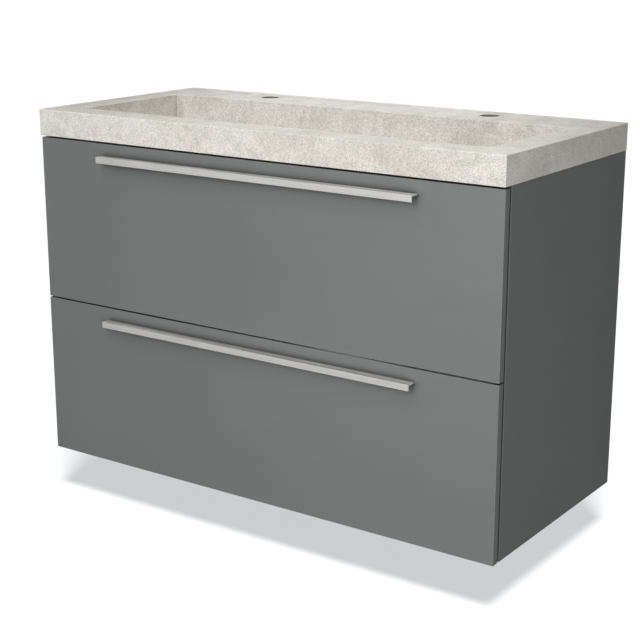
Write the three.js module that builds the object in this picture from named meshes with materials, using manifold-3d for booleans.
// Wall-hung bathroom vanity: a concrete-look trough basin on a two-drawer cabinet that hangs on a
// steel wall rail. Millimetres. +X is to the right of someone facing the fronts, +Y points into the
// wall and +Z up. The origin is the centre of the wall rail's flat rear face, so the wall is the
// plane y = 0 and the fronts lie on the -Y side.
import * as THREE from "three";
import { mergeVertices } from "three/addons/utils/BufferGeometryUtils.js";
import Module from "manifold-3d";

const wasm = await Module();
wasm.setup();

// ---- Driving dimensions ---------------------------------------------------------------------------

const GAP = 0.3; // left between two pieces that meet face to face
const STEEL = 1.5; // sheet of the drawer runners

const BASIN = { width: 1000, depth: 460, slab: 50, board: 12 };
const TROUGH = { width: 880, rear: 125, front: 400, depth: 110, fall: 6, sump: 90 };
const TAP_HOLE = { spread: 504, fromWall: 56, diameter: 35 };

const CABINET = { width: 998, height: 633.5, panel: 18 };
const FRONT = { thickness: 15, setBack: 3, topGap: 3.5, gap: 2.5, buffer: 5 };
const HANDLE = { length: 684, height: 11.5, reach: 20, sheet: 2.5, drop: 22.5, holeSpacing: 640 };

const HANG_DROP = 62; // from the cabinet's top down to the centre of the wall rail's face
const RAIL = { length: 940, face: 30, sheet: 3, standOff: 11, lip: 15, screwHole: 8 };
const BACK_RAIL = { height: 100, standOff: 14 };
const FRONT_RAIL = { height: 70, setBack: 5 }; // set back to clear the handle screws' heads

const RUNNER = { length: 400, height: 23.5, wide: 34, tall: 38, rearGap: 37 };
const DRAWER = { length: 388, wall: 13, wallInset: 6, sheet: 1.2, board: 16 };
const UPPER_SIDE = 145;
const LOWER_SIDE = 185;
const UPPER_RUNNER_RISE = 16; // from the bottom edge of the upper front up to its runners
const LOWER_RUNNER_RISE = 24; // from the cabinet's bottom face up to the lower runners
const CUT_OUT = { width: 260, front: 322, sheet: 3 }; // room for the trap in the upper drawer

const WASTE = { flange: 70, hole: 46, tail: 41, bore: 32, tailLength: 77, cap: 62 };

// ---- Heights and depths that follow from them --------------------------------------------------------

const CABINET_TOP = HANG_DROP;
const CABINET_BOTTOM = CABINET_TOP - CABINET.height;
const BASIN_TOP = CABINET_TOP + BASIN.slab;
const TROUGH_FLOOR = BASIN_TOP - TROUGH.depth;
const TROUGH_UNDERSIDE = TROUGH_FLOOR - BASIN.board;

const FRONT_FACE = -BASIN.depth + FRONT.setBack;
const FRONT_BACK = FRONT_FACE + FRONT.thickness;
const CABINET_FRONT = FRONT_BACK + FRONT.buffer;
const FRONT_HEIGHT = (CABINET.height - FRONT.topGap - FRONT.gap) / 2;
const UPPER_FRONT_TOP = CABINET_TOP - FRONT.topGap;
const LOWER_FRONT_TOP = UPPER_FRONT_TOP - FRONT_HEIGHT - FRONT.gap;

const SIDE_OUTER = CABINET.width / 2;
const SIDE_INNER = SIDE_OUTER - CABINET.panel;
const BOARD_END = SIDE_INNER - GAP;

const DRAWER_FRONT = FRONT_BACK + 2.5;
const DRAWER_REAR = DRAWER_FRONT + DRAWER.length;
const WALL_INNER = SIDE_INNER - DRAWER.wallInset - DRAWER.wall;

const SIDES = [["left", -1], ["right", 1]];

// ---- Finishes ------------------------------------------------------------------------------------------

const FINISHES = {
  lacquer: [0x74777a, 0.6, 0],
  melamine: [0x6f7275, 0.65, 0],
  concrete: [0xcdc8be, 0.75, 0],
  brushedSteel: [0xc8c6c1, 0.35, 1],
  zincSteel: [0xb4b8bc, 0.45, 1],
  drawerSteel: [0x4a4d50, 0.5, 0.4],
  chrome: [0xdfe2e4, 0.12, 1],
  rubber: [0x1b1b1b, 0.9, 0],
  buffer: [0xd8dad8, 0.5, 0],
};

function piece(name, geometry, finish) {
  const [color, roughness, metalness] = FINISHES[finish];
  const mesh = new THREE.Mesh(geometry, new THREE.MeshStandardMaterial({ color, roughness, metalness }));
  mesh.name = name;
  return mesh;
}

// ---- Shapes --------------------------------------------------------------------------------------------

function block([x0, y0, z0], [x1, y1, z1]) {
  const geometry = new THREE.BoxGeometry(Math.abs(x1 - x0), Math.abs(y1 - y0), Math.abs(z1 - z0));
  return geometry.translate((x0 + x1) / 2, (y0 + y1) / 2, (z0 + z1) / 2);
}

function extrude(outline, depth) {
  const shape = new THREE.Shape(outline.map(([a, b]) => new THREE.Vector2(a, b)));
  return new THREE.ExtrudeGeometry(shape, { depth, bevelEnabled: false });
}

// An outline in x and y, raised from z0 to z1.
function raised(outline, z0, z1) {
  return extrude(outline, z1 - z0).translate(0, 0, z0);
}

// A section in x and z that runs from the depth yFront back to yRear.
function runBack(section, yFront, yRear) {
  return extrude(section, yRear - yFront).rotateX(Math.PI / 2).translate(0, yRear, 0);
}

// A section in y and z that runs across from x0 to x1.
function runAcross(section, x0, x1) {
  const turn = new THREE.Matrix4().makeBasis(
    new THREE.Vector3(0, 1, 0),
    new THREE.Vector3(0, 0, 1),
    new THREE.Vector3(1, 0, 0),
  );
  return extrude(section, x1 - x0).applyMatrix4(turn).translate(x0, 0, 0);
}

// A profile of [radius, height] points, turned about a vertical axis.
function turned(profile, sides = 32) {
  const points = profile.map(([r, z]) => new THREE.Vector2(r, z));
  return new THREE.LatheGeometry(points, sides).rotateX(Math.PI / 2);
}

function rod(radius, z0, z1, sides = 32) {
  return new THREE.CylinderGeometry(radius, radius, z1 - z0, sides)
    .rotateX(Math.PI / 2)
    .translate(0, 0, (z0 + z1) / 2);
}

// A rod that lies along Y.
function rodBack(radius, yFront, yRear, sides = 16) {
  return new THREE.CylinderGeometry(radius, radius, yRear - yFront, sides).translate(0, (yFront + yRear) / 2, 0);
}

function solid(geometry) {
  const bare = geometry.clone();
  bare.deleteAttribute("normal");
  bare.deleteAttribute("uv");
  const merged = mergeVertices(bare);
  return new wasm.Manifold(new wasm.Mesh({
    numProp: 3,
    vertProperties: new Float32Array(merged.attributes.position.array),
    triVerts: new Uint32Array(merged.index.array),
  }));
}

function surface(body) {
  const { vertProperties, triVerts } = body.getMesh();
  const geometry = new THREE.BufferGeometry();
  geometry.setAttribute("position", new THREE.BufferAttribute(new Float32Array(vertProperties), 3));
  geometry.setIndex(new THREE.BufferAttribute(new Uint32Array(triVerts), 1));
  return geometry;
}

function cut(geometry, ...tools) {
  return surface(tools.reduce((body, tool) => body.subtract(solid(tool)), solid(geometry)));
}

function joined(...geometries) {
  return surface(geometries.slice(1).reduce((body, next) => body.add(solid(next)), solid(geometries[0])));
}

// ---- Basin ---------------------------------------------------------------------------------------------

// The trough's floor falls from all four walls to a flat square round the drain.
function troughFloor() {
  const width = TROUGH.width;
  const length = TROUGH.front - TROUGH.rear;
  const floor = new THREE.BoxGeometry(width, length, TROUGH.fall);
  const corners = floor.attributes.position;
  for (let i = 0; i < corners.count; i += 1) {
    if (corners.getZ(i) > 0) continue;
    corners.setX(i, Math.sign(corners.getX(i)) * TROUGH.sump / 2);
    corners.setY(i, Math.sign(corners.getY(i)) * TROUGH.sump / 2);
  }
  return floor.translate(0, -(TROUGH.front + TROUGH.rear) / 2, TROUGH_FLOOR + TROUGH.fall / 2);
}

function tapHole(sign) {
  return rod(TAP_HOLE.diameter / 2, CABINET_TOP, BASIN_TOP + 1)
    .translate(sign * TAP_HOLE.spread / 2, -TAP_HOLE.fromWall, 0);
}

// A slab with its underside hollowed to a board all round, and the trough hung through it.
function basin() {
  const half = BASIN.width / 2;
  const wall = BASIN.board;
  const tub = TROUGH.width / 2;
  const slab = block([-half, -BASIN.depth, CABINET_TOP], [half, 0, BASIN_TOP]);
  const hollow = block([-half + wall, -BASIN.depth + wall, CABINET_TOP - 1], [half - wall, -wall, BASIN_TOP - wall]);
  const trough = block(
    [-tub - wall, -TROUGH.front - wall, TROUGH_UNDERSIDE],
    [tub + wall, -TROUGH.rear + wall, BASIN_TOP - wall / 2],
  );
  const well = block(
    [-tub, -TROUGH.front, TROUGH_FLOOR + TROUGH.fall],
    [tub, -TROUGH.rear, BASIN_TOP + 1],
  );
  const drain = rod(WASTE.hole / 2, TROUGH_UNDERSIDE - 1, BASIN_TOP).translate(0, drainY(), 0);
  const shell = joined(cut(slab, hollow), trough);
  return piece("basin", cut(shell, well, troughFloor(), drain, tapHole(-1), tapHole(1)), "concrete");
}

// ---- Waste fitting -------------------------------------------------------------------------------------

function drainY() {
  return -(TROUGH.front + TROUGH.rear) / 2;
}

// Heights in here count from the trough's floor at the drain, and radii from the drain's axis.
function waste() {
  const group = new THREE.Group();
  const tail = WASTE.tail / 2;
  const bore = WASTE.bore / 2;
  const rim = WASTE.flange / 2;
  const under = -BASIN.board;
  const end = -WASTE.tailLength;
  const seat = GAP + 1.2;
  const top = GAP + 3;
  const flange = [
    [tail + GAP, seat], [rim, GAP], [rim, seat], [rim - 3, top], [bore + 2, top], [bore + 2, seat], [tail + GAP, seat],
  ];
  const body = [
    [bore, seat - GAP], [bore, end], [tail, end], [tail, seat - GAP], [bore, seat - GAP],
  ];
  const bridge = block([-bore - 1, -3, -24], [bore + 1, 3, -18]);
  const cap = [
    [0, -18 + GAP], [3, -18 + GAP], [3, 9], [WASTE.cap / 2, 9], [WASTE.cap / 2, 11], [WASTE.cap / 2 - 3, 13], [0, 13],
  ];
  const washer = ring(tail + GAP, 33, under - GAP - 3, under - GAP);
  const nut = cut(rod(31, under - 16, under - 2 * GAP - 3, 6), rod(tail + GAP, under - 17, under));
  group.add(
    piece("waste_flange", turned(flange), "chrome"),
    piece("waste_body", joined(turned(body), bridge), "chrome"),
    piece("waste_cap", turned(cap), "chrome"),
    piece("waste_washer", washer, "rubber"),
    piece("waste_nut", nut, "chrome"),
  );
  group.position.set(0, drainY(), TROUGH_FLOOR);
  return group;
}

function ring(inner, outer, z0, z1) {
  return turned([[inner, z0], [outer, z0], [outer, z1], [inner, z1], [inner, z0]]);
}

// ---- Cabinet -------------------------------------------------------------------------------------------

function cabinet() {
  const group = new THREE.Group();
  const panel = CABINET.panel;
  for (const [side, sign] of SIDES) {
    const board = block([sign * SIDE_OUTER, CABINET_FRONT, CABINET_BOTTOM], [sign * SIDE_INNER, 0, CABINET_TOP]);
    group.add(piece(`side_${side}`, board, "lacquer"));
  }
  const floor = block([-BOARD_END, CABINET_FRONT, CABINET_BOTTOM], [BOARD_END, 0, CABINET_BOTTOM + panel]);
  const railFront = CABINET_FRONT + FRONT_RAIL.setBack;
  const frontRail = block(
    [-BOARD_END, railFront, CABINET_TOP - FRONT_RAIL.height],
    [BOARD_END, railFront + panel, CABINET_TOP],
  );
  const lowerRail = block(
    [-BOARD_END, -panel, CABINET_BOTTOM + panel + GAP],
    [BOARD_END, 0, CABINET_BOTTOM + panel + BACK_RAIL.height],
  );
  group.add(
    piece("bottom_panel", floor, "melamine"),
    piece("front_rail", frontRail, "melamine"),
    piece("back_rail_upper", upperBackRail(), "melamine"),
    piece("back_rail_lower", lowerRail, "melamine"),
  );
  return group;
}

// The hanging rail of the cabinet stands clear of the wall, and is notched at both ends for the hooks.
function upperBackRail() {
  const rear = -BACK_RAIL.standOff;
  const board = block(
    [-BOARD_END, rear - CABINET.panel, CABINET_TOP - BACK_RAIL.height],
    [BOARD_END, rear, CABINET_TOP],
  );
  const notches = SIDES.map(([, sign]) => block(
    [sign * (BOARD_END + 1), rear - CABINET.panel - 1, 22],
    [sign * (SIDE_INNER - 24), rear + 1, 42],
  ));
  return cut(board, ...notches);
}

// Four small buffers on the cabinet's front edges, which the fronts close against.
function buffers() {
  const group = new THREE.Group();
  for (const [side, sign] of SIDES) {
    for (const [level, z] of [["upper", UPPER_FRONT_TOP - 30], ["lower", LOWER_FRONT_TOP - 30]]) {
      const button = rodBack(4, FRONT_BACK + GAP, CABINET_FRONT - GAP)
        .translate(sign * (SIDE_OUTER - CABINET.panel / 2), 0, z);
      group.add(piece(`${level}_buffer_${side}`, button, "buffer"));
    }
  }
  return group;
}

// ---- Hanging hardware ----------------------------------------------------------------------------------

// A Z-shaped rail: its flat face is screwed to the wall, and the hooks drop behind its upturned lip.
function wallRail() {
  const half = RAIL.face / 2;
  const sheet = RAIL.sheet;
  const section = [
    [0, -half], [0, half], [-RAIL.standOff + sheet, half], [-RAIL.standOff + sheet, half + RAIL.lip - sheet],
    [-RAIL.standOff, half + RAIL.lip - sheet], [-RAIL.standOff, half - sheet], [-sheet, half - sheet], [-sheet, -half],
  ];
  const holes = [-400, -150, 150, 400].map((x) => rodBack(RAIL.screwHole / 2, -sheet - 1, 1).translate(x, 0, -3));
  return piece("wall_rail", cut(runAcross(section, -RAIL.length / 2, RAIL.length / 2), ...holes), "zincSteel");
}

// A hanger housing on each side panel holds a hook, which one screw lifts and another draws in.
function hangers() {
  const group = new THREE.Group();
  const lipTop = RAIL.face / 2 + RAIL.lip - RAIL.sheet;
  const housingRear = -BACK_RAIL.standOff - CABINET.panel - GAP;
  const housingFront = housingRear - 52;
  const armLow = lipTop + GAP;
  const armHigh = armLow + 8;
  for (const [side, sign] of SIDES) {
    const outer = sign * (SIDE_INNER - GAP);
    const x = sign * (SIDE_INNER - 10);
    const [x0, x1] = [x - 6, x + 6];
    const housing = block([outer, housingFront, -12], [sign * (SIDE_INNER - 19), housingRear, 56]);
    const pocket = block([x0 - GAP, housingRear - 30, armLow - GAP], [x1 + GAP, housingRear + 1, armHigh + GAP]);
    const screwHoles = [8, 48].map((z) => rodBack(4.5, housingFront - 1, housingFront + 12).translate(x, 0, z));
    const hook = runAcross([
      [housingRear - 30 + GAP, armLow], [-RAIL.standOff + RAIL.sheet + 0.4, armLow],
      [-RAIL.standOff + RAIL.sheet + 0.4, armLow - 9], [-4.6, armLow - 9], [-4.6, armHigh],
      [housingRear - 30 + GAP, armHigh],
    ], x0, x1);
    group.add(
      piece(`hanger_${side}`, cut(housing, pocket, ...screwHoles), "zincSteel"),
      piece(`hanger_hook_${side}`, hook, "zincSteel"),
    );
    for (const [use, z] of [["height", 8], ["depth", 48]]) {
      const screw = rodBack(4.5 - GAP, housingFront - 1.5, housingFront + 12 - GAP).translate(x, 0, z);
      group.add(piece(`hanger_${use}_screw_${side}`, screw, "zincSteel"));
    }
  }
  return group;
}

// ---- Drawer runners --------------------------------------------------------------------------------------

// Sections of the three runner members, as [distance in from the side panel, height] points.
const MEMBERS = {
  cabinet: [
    [GAP, 0], [RUNNER.wide, 0], [RUNNER.wide, 8], [RUNNER.wide - STEEL, 8], [RUNNER.wide - STEEL, STEEL],
    [GAP + STEEL, STEEL], [GAP + STEEL, RUNNER.tall], [GAP, RUNNER.tall],
  ],
  middle: channel(6, 30, 2.2, 18, STEEL),
  drawer: channel(3, 33, 9, RUNNER.height, STEEL),
};

// A channel that opens downwards.
function channel(near, far, low, high, sheet) {
  return [
    [near, low], [near + sheet, low], [near + sheet, high - sheet], [far - sheet, high - sheet],
    [far - sheet, low], [far, low], [far, high], [near, high],
  ];
}

function inFromSide(section, sign, z) {
  return section.map(([u, height]) => [sign * (SIDE_INNER - u), z + height]);
}

function member(kind, level, side, sign, z) {
  const rear = -RUNNER.rearGap;
  const section = inFromSide(MEMBERS[kind], sign, z);
  return piece(`${level}_runner_${kind}_${side}`, runBack(section, rear - RUNNER.length + GAP, rear), "zincSteel");
}

// ---- Drawers ---------------------------------------------------------------------------------------------

// An angle bar whose flange hangs down in front of the fingers, with a lug at each end for its screw.
function handle(name, z) {
  const front = FRONT_FACE - HANDLE.reach;
  const sheet = HANDLE.sheet;
  const bar = runAcross([
    [FRONT_FACE - GAP, z], [front, z], [front, z - HANDLE.height], [front + sheet, z - HANDLE.height],
    [front + sheet, z - sheet], [FRONT_FACE - GAP, z - sheet],
  ], -HANDLE.length / 2, HANDLE.length / 2);
  const lugs = SIDES.map(([, sign]) => block(
    [sign * HANDLE.holeSpacing / 2 - 6, front + sheet / 2, z - HANDLE.height],
    [sign * HANDLE.holeSpacing / 2 + 6, FRONT_FACE - GAP, z - sheet / 2],
  ));
  const holes = SIDES.map(([, sign]) => rodBack(2 + GAP, front + 6, FRONT_FACE + 1)
    .translate(sign * HANDLE.holeSpacing / 2, 0, screwHeight(z)));
  return piece(name, cut(joined(bar, ...lugs), ...holes), "brushedSteel");
}

function screwHeight(handleTop) {
  return handleTop - HANDLE.sheet - (HANDLE.height - HANDLE.sheet) / 2;
}

function frontPanel(name, top) {
  const half = CABINET.width / 2;
  const panel = block([-half, FRONT_FACE, top - FRONT_HEIGHT], [half, FRONT_BACK, top]);
  const holes = SIDES.map(([, sign]) => rodBack(2 + GAP, FRONT_FACE - 1, FRONT_BACK + 1)
    .translate(sign * HANDLE.holeSpacing / 2, 0, screwHeight(top - HANDLE.drop)));
  return piece(name, cut(panel, ...holes), "lacquer");
}

// A pan-head screw that comes from inside the drawer, through the front and into the handle's lug.
function handleScrew(sign, z) {
  const tip = FRONT_FACE - HANDLE.reach + 7;
  const head = FRONT_BACK + GAP;
  const profile = [[0, tip], [2, tip], [2, head], [4, head], [4, head + 1.5], [2.8, head + 2.2], [0, head + 2.2]];
  const points = profile.map(([r, y]) => new THREE.Vector2(r, y));
  return new THREE.LatheGeometry(points, 16).translate(sign * HANDLE.holeSpacing / 2, 0, z);
}

// A foot against the front and a tongue inside the hollow drawer side.
function frontBracket(sign, z) {
  const at = (u) => sign * (SIDE_INNER - u);
  const wall = DRAWER.wallInset + DRAWER.sheet + GAP;
  const far = DRAWER.wallInset + DRAWER.wall - DRAWER.sheet - GAP;
  const foot = FRONT_BACK + GAP;
  const tongue = DRAWER_FRONT - GAP;
  return raised([
    [at(4), foot], [at(44), foot], [at(44), tongue], [at(far), tongue], [at(far), tongue + 40],
    [at(wall), tongue + 40], [at(wall), tongue], [at(4), tongue],
  ], z + 20, z + 80);
}

function drawerFrame(level, top, sideHeight, runnerRise) {
  const group = new THREE.Group();
  const runnerZ = top - FRONT_HEIGHT + runnerRise;
  const boxZ = runnerZ + RUNNER.height + 0.5;
  const handleTop = top - HANDLE.drop;
  const inset = DRAWER.wallInset;
  const wall = channel(inset, inset + DRAWER.wall, 0, sideHeight, DRAWER.sheet);
  group.add(frontPanel(`${level}_front`, top), handle(`${level}_handle`, handleTop));
  for (const [side, sign] of SIDES) {
    const sideWall = runBack(inFromSide(wall, sign, boxZ), DRAWER_FRONT, DRAWER_REAR);
    group.add(
      member("cabinet", level, side, sign, runnerZ),
      member("middle", level, side, sign, runnerZ),
      member("drawer", level, side, sign, runnerZ),
      piece(`${level}_drawer_side_${side}`, sideWall, "drawerSteel"),
      piece(`${level}_front_bracket_${side}`, frontBracket(sign, boxZ), "zincSteel"),
      piece(`${level}_handle_screw_${side}`, handleScrew(sign, screwHeight(handleTop)), "zincSteel"),
    );
  }
  return { group, boxZ };
}

// The upper drawer is cut away at the back for the trap, with a guard folded round the cut-out.
function upperDrawer() {
  const { group, boxZ } = drawerFrame("upper", UPPER_FRONT_TOP, UPPER_SIDE, UPPER_RUNNER_RISE);
  const edge = WALL_INNER - GAP;
  const hole = CUT_OUT.width / 2;
  const guard = hole + CUT_OUT.sheet;
  const baseTop = boxZ + DRAWER.board;
  const wallLow = baseTop + GAP;
  const wallHigh = boxZ + UPPER_SIDE;
  const base = [
    [-edge, DRAWER_FRONT], [edge, DRAWER_FRONT], [edge, DRAWER_REAR], [hole, DRAWER_REAR],
    [hole, -CUT_OUT.front], [-hole, -CUT_OUT.front], [-hole, DRAWER_REAR], [-edge, DRAWER_REAR],
  ];
  const fold = [
    [-guard, -CUT_OUT.front - CUT_OUT.sheet], [guard, -CUT_OUT.front - CUT_OUT.sheet], [guard, DRAWER_REAR],
    [hole, DRAWER_REAR], [hole, -CUT_OUT.front], [-hole, -CUT_OUT.front], [-hole, DRAWER_REAR], [-guard, DRAWER_REAR],
  ];
  group.add(
    piece("upper_drawer_base", raised(base, boxZ, baseTop), "melamine"),
    piece("upper_drawer_trap_guard", raised(fold, wallLow, wallHigh), "drawerSteel"),
  );
  for (const [side, sign] of SIDES) {
    const back = block(
      [sign * (guard + GAP), DRAWER_REAR - DRAWER.board, wallLow],
      [sign * edge, DRAWER_REAR, wallHigh],
    );
    group.add(piece(`upper_drawer_back_${side}`, back, "melamine"));
  }
  return group;
}

function lowerDrawer() {
  const { group, boxZ } = drawerFrame("lower", LOWER_FRONT_TOP, LOWER_SIDE, LOWER_RUNNER_RISE);
  const edge = WALL_INNER - GAP;
  const baseTop = boxZ + DRAWER.board;
  const base = block([-edge, DRAWER_FRONT, boxZ], [edge, DRAWER_REAR, baseTop]);
  const back = block([-edge, DRAWER_REAR - DRAWER.board, baseTop + GAP], [edge, DRAWER_REAR, boxZ + LOWER_SIDE]);
  group.add(piece("lower_drawer_base", base, "melamine"), piece("lower_drawer_back", back, "melamine"));
  return group;
}

// ---- The whole vanity ------------------------------------------------------------------------------------

const vanity = new THREE.Group();
vanity.add(basin(), waste(), cabinet(), buffers(), wallRail(), hangers(), upperDrawer(), lowerDrawer());

export default vanity;
